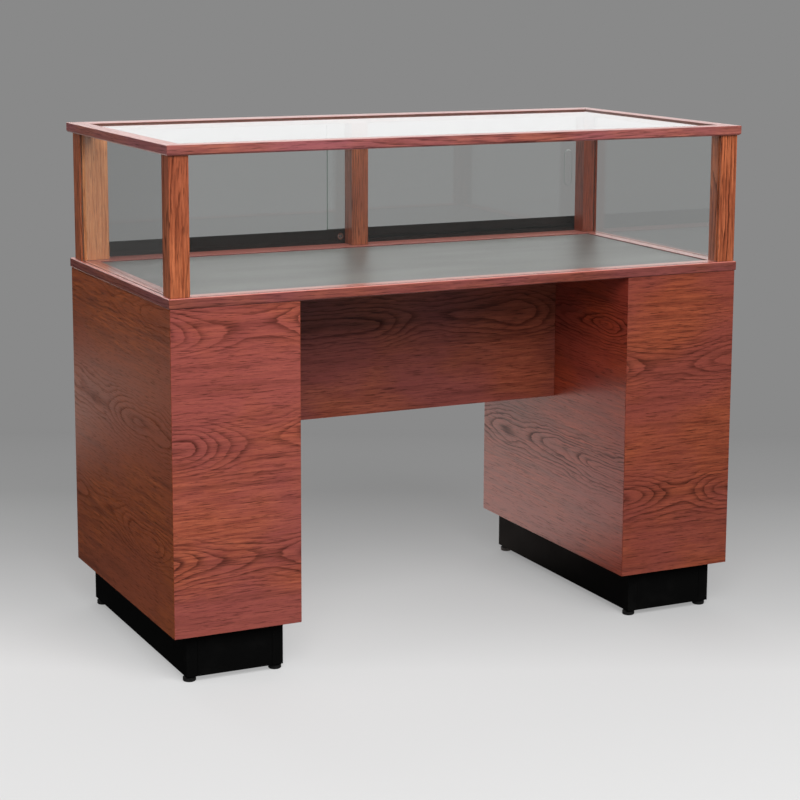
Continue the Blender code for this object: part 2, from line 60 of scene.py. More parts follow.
# Softboxes, in metres. A lamp of one square metre takes LAMP_WATTS for each unit of radiance
LAMP_WATTS = 4.0
SOFTBOXES = {
    "key_softbox": {
        "place": (-0.4, -3.1, 3.0),
        "target": (0.0, 0.0, 0.6),
        "width": 3.6,
        "height": 2.6,
        "radiance": 5.25,
    },
    "left_fill_softbox": {
        "place": (-3.2, 0.2, 1.6),
        "target": (-0.6, 0.0, 0.6),
        "width": 1.8,
        "height": 1.8,
        "radiance": 1.9,
    },
    "back_softbox": {
        "place": (1.0, 2.0, 1.6),
        "target": (1.0, 0.0, 1.6),
        "width": 5.0,
        "height": 1.0,
        "radiance": 0.75,
        "mirrored": True,
    },
    "rear_fill_softbox": {
        "place": (0.6, 2.8, 3.0),
        "target": (0.0, 0.0, 0.5),
        "width": 4.4,
        "height": 2.8,
        "radiance": 0.95,
    },
}

# Mesh finish: metres and angles
WELD_DISTANCE = 0.00001
WOOD_EASE = 0.0006
METAL_EASE = 0.0002
GLASS_EASE = 0.0005
EASE_SEGMENTS = 2
FLAT_ANGLE = math.radians(0.5)
EDGE_ANGLE = math.radians(30)

# A face looks along an axis where its normal's part on that axis is more than this
FACING = 0.7

# Spans: whole, falling, and the middle that a noise mostly keeps to
WHOLE = (0.0, 1.0)
FALLING = (1.0, 0.0)
MOSTLY = (0.3, 0.7)

# Sockets of a Mix node for colours, by number
MIX_FACTOR = 0
MIX_FIRST = 6
MIX_SECOND = 7
MIX_RESULT = 2


# Shader nodes


def opaque(colour):
    return (*colour, 1.0)


class Graph:
    """Short calls that add shader nodes to one tree and return their output sockets."""

    def __init__(self, tree):
        self.tree = tree
        tree.nodes.clear()

    def set_input(self, socket, value):
        if isinstance(value, bpy.types.NodeSocket):
            self.tree.links.new(value, socket)
        else:
            socket.default_value = value

    def node(self, kind, inputs=None, **settings):
        node = self.tree.nodes.new(kind)
        for key, value in settings.items():
            setattr(node, key, value)
        for key, value in (inputs or {}).items():
            self.set_input(node.inputs[key], value)
        return node

    def math(self, operation, first, second=0.0, third=0.0):
        return self.node("ShaderNodeMath", {0: first, 1: second, 2: third}, operation=operation).outputs[0]

    def combine(self, x, y, z):
        return self.node("ShaderNodeCombineXYZ", {"X": x, "Y": y, "Z": z}).outputs[0]

    def axes(self, vector):
        node = self.node("ShaderNodeSeparateXYZ", {"Vector": vector})
        return [node.outputs[axis] for axis in "XYZ"]

    def scaled(self, vector, factors):
        """Vector times factors, part by part."""
        return self.node("ShaderNodeVectorMath", {0: vector, 1: factors}, operation="MULTIPLY").outputs[0]

    def moved(self, vector, offset):
        return self.node("ShaderNodeVectorMath", {0: vector, 1: offset}, operation="ADD").outputs[0]

    def noise(self, vector, scale=1.0, detail=2.0, roughness=0.5, distortion=0.0):
        values = {
            "Vector": vector,
            "Scale": scale,
            "Detail": detail,
            "Roughness": roughness,
            "Distortion": distortion,
        }
        return self.node("ShaderNodeTexNoise", values).outputs["Fac"]

    def ramp(self, factor, stops):
        """Grey ramp through stops of (position, grey)."""
        node = self.node("ShaderNodeValToRGB", {"Fac": factor})
        elements = node.color_ramp.elements
        while len(elements) < len(stops):
            elements.new(1.0)
        for element, (position, grey) in zip(elements, stops):
            element.position = position
            element.color = (grey, grey, grey, 1.0)
        return node.outputs["Color"]

    def span(self, value, start_end, to=WHOLE, smooth=False):
        """Value that runs between start and end, taken to run between the two ends of to, and held there."""
        low, high = start_end
        to_low, to_high = to
        values = {"Value": value, "From Min": low, "From Max": high, "To Min": to_low, "To Max": to_high}
        kind = "SMOOTHSTEP" if smooth else "LINEAR"
        return self.node("ShaderNodeMapRange", values, interpolation_type=kind).outputs["Result"]

    def mix(self, factor, first, second):
        """The first colour where the factor is 0, the second where it is 1."""
        node = self.node("ShaderNodeMix", {MIX_FACTOR: factor}, data_type="RGBA")
        for index, colour in ((MIX_FIRST, first), (MIX_SECOND, second)):
            self.set_input(node.inputs[index], opaque(colour) if isinstance(colour, tuple) else colour)
        return node.outputs[MIX_RESULT]

    def bump(self, height, distance, strength):
        values = {"Height": height, "Distance": distance, "Strength": strength}
        return self.node("ShaderNodeBump", values).outputs["Normal"]

    def object_place(self):
        return self.node("ShaderNodeTexCoord").outputs["Object"]

    def object_normal(self):
        return self.node("ShaderNodeTexCoord").outputs["Normal"]

    def principled(self, inputs):
        return self.node("ShaderNodeBsdfPrincipled", inputs).outputs[0]

    def diffuse(self, colour):
        return self.node("ShaderNodeBsdfDiffuse", {"Color": colour}).outputs[0]

    def emission(self, colour):
        return self.node("ShaderNodeEmission", {"Color": colour}).outputs[0]

    def either(self, factor, first, second):
        """The first shader where the factor is 0, the second where it is 1."""
        return self.node("ShaderNodeMixShader", {0: factor, 1: first, 2: second}).outputs[0]

    def surface(self, shader):
        self.node("ShaderNodeOutputMaterial", {"Surface": shader})


def new_material(name):
    material = bpy.data.materials.new(name)
    material.use_nodes = True
    return material, Graph(material.node_tree)


# Oak: its stains

# A stain is the tone of the dark lines, of the ground, and of the ground's pale and rosy parts
Stain = namedtuple("Stain", "dark mid pale rose")
OAK = Stain((0.060, 0.012, 0.008), (0.235, 0.046, 0.025), (0.455, 0.112, 0.054), (0.300, 0.068, 0.062))
POST = Stain((0.060, 0.011, 0.005), (0.245, 0.056, 0.020), (0.60, 0.175, 0.070), (0.30, 0.072, 0.034))
# Painted highlight, not wear: a paler, pinker tone for faces that look up, where light falls from above
PAINTED_TOP_GLARE = Stain((0.30, 0.085, 0.070), (0.62, 0.185, 0.150), (0.80, 0.290, 0.235), (0.66, 0.205, 0.170))
# Painted light, not a stain: a pale honey tone for faces lit from the front inside the left pane
HONEY_PAINTED_LIGHT = Stain((0.30, 0.090, 0.032), (0.70, 0.230, 0.082), (0.90, 0.40, 0.180), (0.74, 0.265, 0.112))


def tinted(stain, red, green, blue):
    """Stain with the red, green and blue of its tones times these factors."""
    return Stain(*[(tone[0] * red, tone[1] * green, tone[2] * blue) for tone in stain])


def restained(graph, share, stain, other):
    """The stain where share is 0, the other stain where it is 1."""
    return Stain(*[graph.mix(share, tone, other_tone) for tone, other_tone in zip(stain, other)])


def looking_up(graph):
    """1 on faces that look up, and 0 elsewhere."""
    return graph.math("GREATER_THAN", graph.axes(graph.object_normal())[2], FACING)


def looking_forward(graph, start):
    """1 on faces that look forward and lie beyond start on X, and 0 elsewhere."""
    forward = graph.math("LESS_THAN", graph.axes(graph.object_normal())[1], -FACING)
    beyond = graph.math("GREATER_THAN", graph.axes(graph.object_place())[0], start)
    return graph.math("MULTIPLY", forward, beyond)


# Oak: its grain

# Noise stretched along the grain, with its scale along and across it
Noise = namedtuple("Noise", "along across detail roughness")
BEND = Noise(along=5.0, across=17.0, detail=3.0, roughness=0.55)
DRIFT = Noise(along=4.0, across=5.0, detail=1.0, roughness=0.5)
FIGURE = Noise(along=9.0, across=18.0, detail=1.0, roughness=0.5)
SHAKE = Noise(along=26.0, across=330.0, detail=2.0, roughness=0.5)
BAND = Noise(along=2.6, across=60.0, detail=4.0, roughness=0.6)
STREAK = Noise(along=11.0, across=230.0, detail=4.0, roughness=0.7)
DASH = Noise(along=27.0, across=620.0, detail=3.0, roughness=0.6)
PORE = Noise(along=70.0, across=1900.0, detail=1.0, roughness=0.5)
PATCH = Noise(along=4.0, across=6.0, detail=3.0, roughness=0.5)

# The same for a sawn stick, with its scale counted to one swing of the grain
SLOW_SWING = Noise(along=1.0, across=1.0, detail=1.0, roughness=0.4)
QUICK_SWING = Noise(along=4.0, across=5.0, detail=2.0, roughness=0.5)
STICK_FIGURE = Noise(along=0.8, across=1.3, detail=1.0, roughness=0.5)

# A leaf of flat-cut veneer, in metres: its height, the height of its middle, the place along the grain of
# its crown, how far the slice swells from the heart of the log there, and how it slopes along the grain
Leaf = namedtuple("Leaf", "height middle crown swell slope")

# A sawn stick: rings to the metre, how many rings its grain swings by, and a swing's length and width
Sawn = namedtuple("Sawn", "rings swing long wide")
RAIL_CUT = Sawn(rings=110.0, swing=8.0, long=0.50, wide=0.08)
POST_CUT = Sawn(rings=130.0, swing=8.0, long=0.30, wide=0.045)

# Flat-cut veneer, in metres: how far from the heart a slice passes, the wave and the drift of that, how
# the middle of a leaf bends, and how thick a ring grows
VENEER_DEPTH = 0.042
VENEER_WAVE = 0.42
VENEER_DRIFT = (-0.026, 0.026)
VENEER_BEND = (-0.020, 0.020)
VENEER_RING = 0.0060

# How bold its rings are: fading away from the leaf's middle, and patchy
VENEER_FADE_SPAN = (0.025, 0.080)
VENEER_FADE = (1.0, 0.16)
FIGURE_SPAN = (0.30, 0.60)
FIGURE_SHARE = (0.55, 1.0)

# Sawn sticks: how the rings lean through the stick, how many they waver by, and how they come and go
STICK_LEAN = 0.6
STICK_WAVER = 0.9
STICK_SPAN = (0.38, 0.58)
STICK_SHARE = (0.25, 1.0)

# Ring lines: how long before a year's end they start, their darkness over the year, and how they vary
RING_START = 0.08
RING_PROFILE = [(0.0, 1.0), (0.12, 0.75), (0.30, 0.25), (0.55, 0.0), (0.92, 0.0), (1.0, 1.0)]
RING_SHAKE = 0.25
YEAR_SHARE = (0.35, 1.0)

# Marks in the wood: the span of each noise that shows, and its share of the colour. Dashes start sooner
# on a ring line
STREAK_SPAN = (0.34, 0.66)
PATCH_SPAN = (0.40, 0.60)
PATCH_SHARE = (0.0, 0.7)
BAND_SPAN = (0.50, 0.76)
BAND_SHARE = (0.0, 0.5)
DASH_START = 0.56
DASH_START_BY_RING = -0.13
DASH_SPAN = (0.0, 0.10)
DASH_SHARE = 0.75
PORE_SPAN = (0.60, 0.68)
PORE_SHARE = 0.35

# Lacquer: its weight, which open grain breaks, and the gloss and relief of the wood under it
LACQUER = 0.95
DASH_OPEN = 0.5
DASH_ROUGHNESS = 0.12
OAK_ROUGHNESS = (0.30, 0.40)
DASH_RELIEF = -1.0
PORE_RELIEF = -0.5

# How dark the ring lines are drawn
FRONT_LINES = 0.86
LEFT_SIDE_LINES = 0.36
RIGHT_SIDE_LINES = 1.0
RAIL_LINES = 0.5
POST_LINES = 1.0


def grain_place(graph, along):
    """Place turned so that its first part runs along the grain and its second up the widest face."""
    x, y, z = graph.axes(graph.object_place())
    order = {"x": (x, z, y), "y": (y, z, x), "z": (z, x, y)}[along]
    return graph.combine(*order)


def grain_noise(graph, place, noise):
    stretched = graph.scaled(place, (noise.along, noise.across, noise.across))
    return graph.noise(stretched, detail=noise.detail, roughness=noise.roughness)


def swing_noise(graph, place, noise, cut):
    """Grain noise with its scale counted to one swing of the stick's grain."""
    scaled = noise._replace(along=noise.along / cut.long, across=noise.across / cut.wide)
    return grain_noise(graph, place, scaled)


def flat_cut_rings(graph, straight, place, leaf):
    """Growth rings counted over flat-cut veneer, and how bold they are.

    Each slice passes beside the heart of the log, so that the rings stand wide apart along the middle of a
    leaf and close together at its edges. They close to ovals where the slice passes nearest to the heart.
    """
    along, up, _ = graph.axes(straight)
    half = leaf.height / 2
    within_leaf = graph.math("WRAP", up, leaf.middle + half, leaf.middle - half)
    bend = graph.span(grain_noise(graph, place, BEND), WHOLE, VENEER_BEND)
    across = graph.math("ADD", graph.math("SUBTRACT", within_leaf, leaf.middle), bend)
    from_crown = graph.math("SUBTRACT", along, leaf.crown)
    wave = graph.math("COSINE", graph.math("MULTIPLY", from_crown, math.tau / VENEER_WAVE))
    depth = graph.math("MULTIPLY_ADD", wave, leaf.swell, VENEER_DEPTH)
    depth = graph.math("ADD", depth, graph.span(grain_noise(graph, place, DRIFT), WHOLE, VENEER_DRIFT))
    depth = graph.math("MULTIPLY_ADD", from_crown, leaf.slope, depth)
    squares = graph.math("MULTIPLY_ADD", across, across, graph.math("MULTIPLY", depth, depth))
    level = graph.math("DIVIDE", graph.math("SQRT", squares), VENEER_RING)
    near = graph.span(graph.math("ABSOLUTE", across), VENEER_FADE_SPAN, VENEER_FADE, smooth=True)
    patchy = graph.span(grain_noise(graph, place, FIGURE), FIGURE_SPAN, FIGURE_SHARE)
    return level, graph.math("MULTIPLY", near, patchy)


def straight_rings(graph, place, cut):
    """Growth rings counted over a sawn stick, nearly straight, and how bold they are."""
    _, up, through = graph.axes(place)
    lean = graph.math("MULTIPLY", through, cut.rings * STICK_LEAN)
    level = graph.math("MULTIPLY_ADD", up, cut.rings, lean)
    level = graph.math("MULTIPLY_ADD", swing_noise(graph, place, SLOW_SWING, cut), cut.swing, level)
    level = graph.math("MULTIPLY_ADD", swing_noise(graph, place, QUICK_SWING, cut), STICK_WAVER, level)
    patchy = swing_noise(graph, place, STICK_FIGURE, cut)
    return level, graph.span(patchy, STICK_SPAN, STICK_SHARE, smooth=True)


def ring_lines(graph, place, level, bold):
    """Dark lines along the rings, a little shaky, and of another strength each year."""
    level = graph.math("MULTIPLY_ADD", grain_noise(graph, place, SHAKE), RING_SHAKE, level)
    profile = graph.ramp(graph.math("FRACT", level), RING_PROFILE)
    year = graph.math("FLOOR", graph.math("ADD", level, RING_START))
    growth = graph.node("ShaderNodeTexWhiteNoise", {"W": year}, noise_dimensions="1D").outputs["Value"]
    strength = graph.math("MULTIPLY", bold, graph.span(growth, WHOLE, YEAR_SHARE))
    return graph.math("MULTIPLY", profile, strength)


def oak_ground(graph, place, stain, streak):
    """Colour between the lines: streaked, rosy in patches and darker in bands."""
    patch = graph.span(grain_noise(graph, place, PATCH), PATCH_SPAN, PATCH_SHARE)
    band = graph.span(grain_noise(graph, place, BAND), BAND_SPAN, BAND_SHARE)
    ground = graph.mix(graph.span(streak, STREAK_SPAN), stain.mid, stain.pale)
    ground = graph.mix(patch, ground, stain.rose)
    return graph.mix(band, ground, stain.dark)


def oak(
    name,
    along,
    stain,
    lines,
    shift=(0.0, 0.0, 0.0),
    leaf=None,
    cut=None,
    painted_top_light=None,
    painted_forward_light=None,
    forward_light_from=None,
):
    """Stained oak with open pores, under a lacquer that breaks over open grain.

    The grain runs along one axis, and shift moves it along, up and through the wood. It is that of a leaf of
    veneer, or else of a stick sawn by cut, and lines is how dark its rings are drawn. upper, if any, is the
    stain of faces that look up, a painted highlight, and faded, if any, that of faces that look forward
    beyond forward_light_from on X, painted light.
    """
    material, graph = new_material(name)
    if painted_top_light:
        stain = restained(graph, looking_up(graph), stain, painted_top_light)
    if painted_forward_light:
        stain = restained(graph, looking_forward(graph, forward_light_from), stain, painted_forward_light)
    straight = grain_place(graph, along)
    place = graph.moved(straight, shift)
    if leaf:
        level, bold = flat_cut_rings(graph, straight, place, leaf)
    else:
        level, bold = straight_rings(graph, place, cut)
    ring = ring_lines(graph, place, level, bold)

    # Streaks, dashes that gather along the ring lines, and pores
    streak = grain_noise(graph, place, STREAK)
    dash_start = graph.math("MULTIPLY_ADD", ring, DASH_START_BY_RING, DASH_START)
    dash = graph.span(graph.math("SUBTRACT", grain_noise(graph, place, DASH), dash_start), DASH_SPAN)
    pore = graph.span(grain_noise(graph, place, PORE), PORE_SPAN)

    colour = oak_ground(graph, place, stain, streak)
    for mark, share in ((ring, lines), (dash, DASH_SHARE), (pore, PORE_SHARE)):
        colour = graph.mix(graph.math("MULTIPLY", mark, share), colour, stain.dark)
    relief = graph.math("MULTIPLY_ADD", pore, PORE_RELIEF, graph.math("MULTIPLY", dash, DASH_RELIEF))
    gloss = graph.math("MULTIPLY_ADD", dash, DASH_ROUGHNESS, graph.span(streak, MOSTLY, OAK_ROUGHNESS))
    open_grain = graph.math("MAXIMUM", ring, graph.math("MULTIPLY", dash, DASH_OPEN))
    lacquer = graph.math("MULTIPLY_ADD", open_grain, -LACQUER, LACQUER)
    shader = graph.principled(
        {
            "Base Color": colour,
            "Roughness": gloss,
            "Normal": graph.bump(relief, distance=0.0002, strength=0.3),
            "IOR": 1.5,
            "Specular IOR Level": 0.35,
            "Coat Weight": lacquer,
            "Coat Roughness": 0.28,
        }
    )
    graph.surface(shader)
    return material


# Laminate

LAMINATE_GREY = (0.205, 0.197, 0.192)
LAMINATE_DARKER = 0.82
LAMINATE_PALER = 1.16
LAMINATE_ROUGHNESS = (0.36, 0.42)
SPECKLE_SPAN = (0.35, 0.65)
CLOUD_SHARE = (0.0, 0.25)
WIPE_SCALE = (3.0, 14.0, 14.0)


def laminate(name):
    """Smooth grey laminate with a fine speckle and faint wipe marks."""
    material, graph = new_material(name)
    place = graph.object_place()
    speckle = graph.noise(place, scale=1800.0, detail=2.0)
    cloud = graph.noise(place, scale=5.0, detail=3.0)
    wipe = graph.noise(graph.scaled(place, WIPE_SCALE), detail=2.0)
    darker = tuple(part * LAMINATE_DARKER for part in LAMINATE_GREY)
    paler = tuple(part * LAMINATE_PALER for part in LAMINATE_GREY)
    base = graph.mix(graph.span(speckle, SPECKLE_SPAN), darker, paler)
    base = graph.mix(graph.span(cloud, MOSTLY, CLOUD_SHARE), base, LAMINATE_GREY)
    shader = graph.principled(
        {
            "Base Color": base,
            "Roughness": graph.span(wipe, MOSTLY, LAMINATE_ROUGHNESS),
            "Normal": graph.bump(speckle, distance=0.00003, strength=0.15),
            "IOR": 1.5,
        }
    )
    graph.surface(shader)
    return material


# Black board of the plinths

BOARD_BLACK = (0.0032, 0.0032, 0.0032)
BOARD_DUSTY = (0.009, 0.0086, 0.0082)
BOARD_ROUGHNESS = (0.50, 0.64)
DUST_SPAN = (0.5, 0.8)
DUST_SHARE = (0.0, 0.5)
DULL_SPAN = (0.3, 0.8)


def black_board(name):
    """Black laminate with a fine pebbled face and a little dust."""
    material, graph = new_material(name)
    place = graph.object_place()
    pebble = graph.noise(place, scale=900.0, detail=2.0)
    dust = graph.noise(place, scale=14.0, detail=5.0, roughness=0.65)
    shader = graph.principled(
        {
            "Base Color": graph.mix(graph.span(dust, DUST_SPAN, DUST_SHARE), BOARD_BLACK, BOARD_DUSTY),
            "Roughness": graph.span(dust, DULL_SPAN, BOARD_ROUGHNESS),
            "Specular IOR Level": 0.04,
            "Normal": graph.bump(pebble, distance=0.00008, strength=0.3),
        }
    )
    graph.surface(shader)
    return material


# Black metal of the tracks and shoes

METAL_DARK = (0.017, 0.016, 0.015)
METAL_PALE = (0.032, 0.030, 0.028)
METAL_RUBBED = (0.07, 0.068, 0.064)
METAL_ROUGHNESS = (0.30, 0.44)
DRAWN_SCALE = (4.0, 2600.0, 2600.0)
DRAWN_SPAN = (0.35, 0.65)
RUB_SCALE = (18.0, 90.0, 90.0)
RUB_SPAN = (0.62, 0.80)
RUB_SHARE = (0.0, 0.35)


def black_metal(name):
    """Black anodised aluminium, drawn along its length and a little rubbed."""
    material, graph = new_material(name)
    place = graph.object_place()
    drawn = graph.noise(graph.scaled(place, DRAWN_SCALE), detail=3.0)
    rub = graph.noise(graph.scaled(place, RUB_SCALE), detail=4.0, roughness=0.7)
    base = graph.mix(graph.span(drawn, DRAWN_SPAN), METAL_DARK, METAL_PALE)
    base = graph.mix(graph.span(rub, RUB_SPAN, RUB_SHARE), base, METAL_RUBBED)
    shader = graph.principled(
        {
            "Base Color": base,
            "Metallic": 0.6,
            "Roughness": graph.span(drawn, MOSTLY, METAL_ROUGHNESS),
            "Normal": graph.bump(drawn, distance=0.00002, strength=0.25),
        }
    )
    graph.surface(shader)
    return material


# Chrome of the lock

CHROME_DULL = (0.56, 0.57, 0.57)
CHROME_BRIGHT = (0.70, 0.71, 0.70)
CHROME_ROUGHNESS = (0.10, 0.26)
SCRATCH_SCALE = (700.0, 700.0, 5200.0)
SCRATCH_SPAN = (0.35, 0.7)


def chrome(name):
    """Polished chrome with a slight haze and fine scratches."""
    material, graph = new_material(name)
    place = graph.object_place()
    scratch = graph.noise(graph.scaled(place, SCRATCH_SCALE), detail=3.0)
    haze = graph.noise(place, scale=260.0, detail=3.0)
    shader = graph.principled(
        {
            "Base Color": graph.mix(graph.span(haze, MOSTLY), CHROME_DULL, CHROME_BRIGHT),
            "Metallic": 1.0,
            "Roughness": graph.span(scratch, SCRATCH_SPAN, CHROME_ROUGHNESS),
            "Normal": graph.bump(scratch, distance=0.00001, strength=0.2),
        }
    )
    graph.surface(shader)
    return material


# Nylon of the feet

NYLON_BLACK = (0.010, 0.010, 0.010)
NYLON_SCUFFED = (0.035, 0.034, 0.033)
NYLON_ROUGHNESS = (0.45, 0.62)
SCUFF_SPAN = (0.52, 0.78)


def nylon(name):
    """Moulded black nylon with a grainy skin and some scuffs."""
    material, graph = new_material(name)
    place = graph.object_place()
    grain = graph.noise(place, scale=2400.0, detail=2.0)
    scuff = graph.noise(place, scale=300.0, detail=4.0, roughness=0.7)
    shader = graph.principled(
        {
            "Base Color": graph.mix(graph.span(scuff, SCUFF_SPAN), NYLON_BLACK, NYLON_SCUFFED),
            "Roughness": graph.span(scuff, MOSTLY, NYLON_ROUGHNESS),
            "Normal": graph.bump(grain, distance=0.00005, strength=0.3),
        }
    )
    graph.surface(shader)
    return material


# Seal of the glass top

SEAL_DARK = (0.10, 0.040, 0.030)
SEAL_PALE = (0.17, 0.070, 0.052)
SEAL_ROUGHNESS = (0.28, 0.42)


def sealant(name):
    """Brown silicone with a slightly uneven, glossy skin."""
    material, graph = new_material(name)
    uneven = graph.noise(graph.object_place(), scale=160.0, detail=3.0)
    shader = graph.principled(
        {
            "Base Color": graph.mix(graph.span(uneven, MOSTLY), SEAL_DARK, SEAL_PALE),
            "Roughness": graph.span(uneven, MOSTLY, SEAL_ROUGHNESS),
            "Normal": graph.bump(uneven, distance=0.0003, strength=0.4),
        }
    )
    graph.surface(shader)
    return material


# Glass

GLASS_CLEAR = (0.985, 0.995, 0.99)
GLASS_SHADE = (0.93, 0.955, 0.94)
GLASS_EDGE_DARK = (0.19, 0.25, 0.225)
GLASS_EDGE_PALE = (0.28, 0.34, 0.315)
SMEAR_SCALE = (9.0, 9.0, 5.0)
SMEAR_SPAN = (0.45, 0.80)
SMEAR_ROUGHNESS = (0.0, 0.012)

# Finger pulls in the backs of the doors: how deep they are ground, how close to that counts, and how rough
PULL_DEPTH = 0.002
PULL_REACH = 0.0005
PULL_ROUGHNESS = 0.25


def clear_pane(graph, place, axis, pull_floor):
    """Clear float glass with faint wipe marks and, if pull_floor is given, a frosted finger pull."""
    smear = graph.noise(graph.scaled(place, SMEAR_SCALE), detail=3.0, distortion=0.6)
    gloss = graph.span(smear, SMEAR_SPAN, SMEAR_ROUGHNESS)
    if pull_floor is not None:
        deep = graph.math("COMPARE", graph.axes(place)[axis], pull_floor, PULL_REACH)
        gloss = graph.math("MULTIPLY_ADD", deep, PULL_ROUGHNESS, gloss)
    return graph.principled(
        {
            "Base Color": opaque(GLASS_CLEAR),
            "Roughness": gloss,
            "IOR": 1.42,
            "Transmission Weight": 1.0,
        }
    )


def ground_edge(graph, place):
    """Ground greenish edge of a pane."""
    grit = graph.noise(place, scale=1500.0, detail=2.0)
    return graph.principled(
        {
            "Base Color": graph.mix(grit, GLASS_EDGE_DARK, GLASS_EDGE_PALE),
            "Roughness": 0.4,
            "Normal": graph.bump(grit, distance=0.00004, strength=0.3),
        }
    )


def glass(name, across, pull_floor=None):
    """Pane of clear glass with ground edges, which lamps and bounced light pass straight through.

    across is the axis through the pane, and pull_floor the place on it of a finger pull's floor.
    """
    material, graph = new_material(name)
    place = graph.object_place()
    axis = "xyz".index(across)
    facing = graph.math("ABSOLUTE", graph.axes(graph.object_normal())[axis])
    at_edge = graph.math("LESS_THAN", facing, FACING)
    whole = graph.either(at_edge, clear_pane(graph, place, axis, pull_floor), ground_edge(graph, place))
    shade = graph.node("ShaderNodeBsdfTransparent", {"Color": opaque(GLASS_SHADE)}).outputs[0]
    path = graph.node("ShaderNodeLightPath")
    passing = graph.math("MAXIMUM", path.outputs["Is Shadow Ray"], path.outputs["Is Diffuse Ray"])
    graph.surface(graph.either(passing, whole, shade))
    return material


def door_glass(hand):
    """Glass of one door, with a finger pull in its back."""
    pane_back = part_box(f"{hand}_door_glass")[1][1]
    return glass(f"{hand}_door_clear_glass", "y", pane_back - PULL_DEPTH)


# Dressing of the nodes


def finish_mesh(piece, ease):
    """Weld the piece's faces into one skin, with flat faces whole, and ease its edges."""
    weld = piece.modifiers.new("weld", "WELD")
    weld.merge_threshold = WELD_DISTANCE
    whole = piece.modifiers.new("whole_faces", "DECIMATE")
    whole.decimate_type = "DISSOLVE"
    whole.angle_limit = FLAT_ANGLE
    if ease:
        bevel = piece.modifiers.new("ease", "BEVEL")
        bevel.width = ease
        bevel.segments = EASE_SEGMENTS
        bevel.limit_method = "ANGLE"
        bevel.angle_limit = EDGE_ANGLE


def dress(names, material, ease=0.0):
    for name in names:
        piece = nodes[name]
        for slot in piece.material_slots:
            slot.material = material
        finish_mesh(piece, ease)


# Pedestals and modesty panel

front_veneer_left = oak(
    "front_veneer_left",
    along="x",
    stain=OAK,
    lines=FRONT_LINES,
    leaf=Leaf(height=0.22, middle=0.671, crown=-0.438, swell=0.010, slope=0.0),
)
# The right front takes a darker copy of the oak stain: painted shade
front_veneer_right_painted_shade = oak(
    "front_veneer_right_painted_shade",
    along="x",
    stain=tinted(OAK, red=0.79, green=0.74, blue=0.64),
    lines=FRONT_LINES,
    shift=(0.4, 0.2, 0.0),
    leaf=Leaf(height=0.275, middle=0.53, crown=0.515, swell=0.010, slope=0.0),
)
# The left pedestal's sides take a browner, slightly darker copy of the oak stain: painted shade of the dim
# light on that side
side_veneer_left_painted_shade = oak(
    "side_veneer_left_painted_shade",
    along="y",
    stain=tinted(OAK, red=0.95, green=0.88, blue=0.38),
    lines=LEFT_SIDE_LINES,
    shift=(0.7, 0.31, 0.0),
    leaf=Leaf(height=0.22, middle=0.69, crown=0.05, swell=0.005, slope=0.03),
)
# Both sides of the right pedestal take a darker, redder copy of the oak stain: painted shade, as on its
# shaded inner side
side_veneer_right_painted_shade = oak(
    "side_veneer_right_painted_shade",
    along="y",
    stain=tinted(OAK, red=1.0, green=0.60, blue=0.46),
    lines=RIGHT_SIDE_LINES,
    shift=(0.2, 0.0, 0.5),
    leaf=Leaf(height=0.30, middle=0.305, crown=0.18, swell=0.0, slope=0.10),
)
modesty_veneer = oak(
    "modesty_veneer",
    along="x",
    stain=tinted(OAK, red=0.79, green=0.82, blue=0.86),
    lines=FRONT_LINES,
    shift=(1.1, 0.0, 0.0),
    leaf=Leaf(height=0.29, middle=0.605, crown=0.063, swell=0.004, slope=0.06),
)
plinth_black = black_board("plinth_black_board")
foot_nylon = nylon("foot_nylon_moulded")

sides = ("outer_side", "inner_side")
veneers = {"left": (front_veneer_left, side_veneer_left_painted_shade), "right": (front_veneer_right_painted_shade, side_veneer_right_painted_shade)}
for hand, (front_veneer, side_veneer) in veneers.items():
    dress([f"{hand}_pedestal_{part}" for part in ("front", "back", "floor", "top")], front_veneer, WOOD_EASE)
    dress([f"{hand}_pedestal_{part}" for part in sides], side_veneer, WOOD_EASE)
    dress([f"{hand}_plinth_{part}" for part in ("front", "back", *sides)], plinth_black, WOOD_EASE)
    feet = [f"{hand}_foot_{end}_{side}" for end in ("front", "back") for side in ("outer", "inner")]
    dress(feet, foot_nylon)
dress(["modesty_panel"], modesty_veneer, WOOD_EASE)

# Rails and deck

# Faces of the rails that look up take the paler top tone: a painted highlight
rail_stains = {
    "top_rail": tinted(OAK, red=1.0, green=1.30, blue=1.80),
    "deck_rail": tinted(OAK, red=0.7178, green=0.8288, blue=1.036),
}
for rail, rail_stain in rail_stains.items():
    along_x = oak(
        f"{rail}_along_x",
        along="x",
        stain=rail_stain,
        lines=RAIL_LINES,
        shift=(0.2, 0.12, 0.3),
        cut=RAIL_CUT,
        painted_top_light=PAINTED_TOP_GLARE,
    )
    along_y = oak(
        f"{rail}_along_y",
        along="y",
        stain=rail_stain,
        lines=RAIL_LINES,
        shift=(0.9, 0.05, 0.2),
        cut=RAIL_CUT,
        painted_top_light=PAINTED_TOP_GLARE,
    )
    dress([f"{rail}_front", f"{rail}_back"], along_x, WOOD_EASE)
    dress([f"{rail}_left", f"{rail}_right"], along_y, WOOD_EASE)
dress(["deck_panel"], laminate("deck_laminate_grey"), METAL_EASE)

# Posts. The back left one and its jamb are painted light where they look forward inside the left pane: a pale
# honey tone

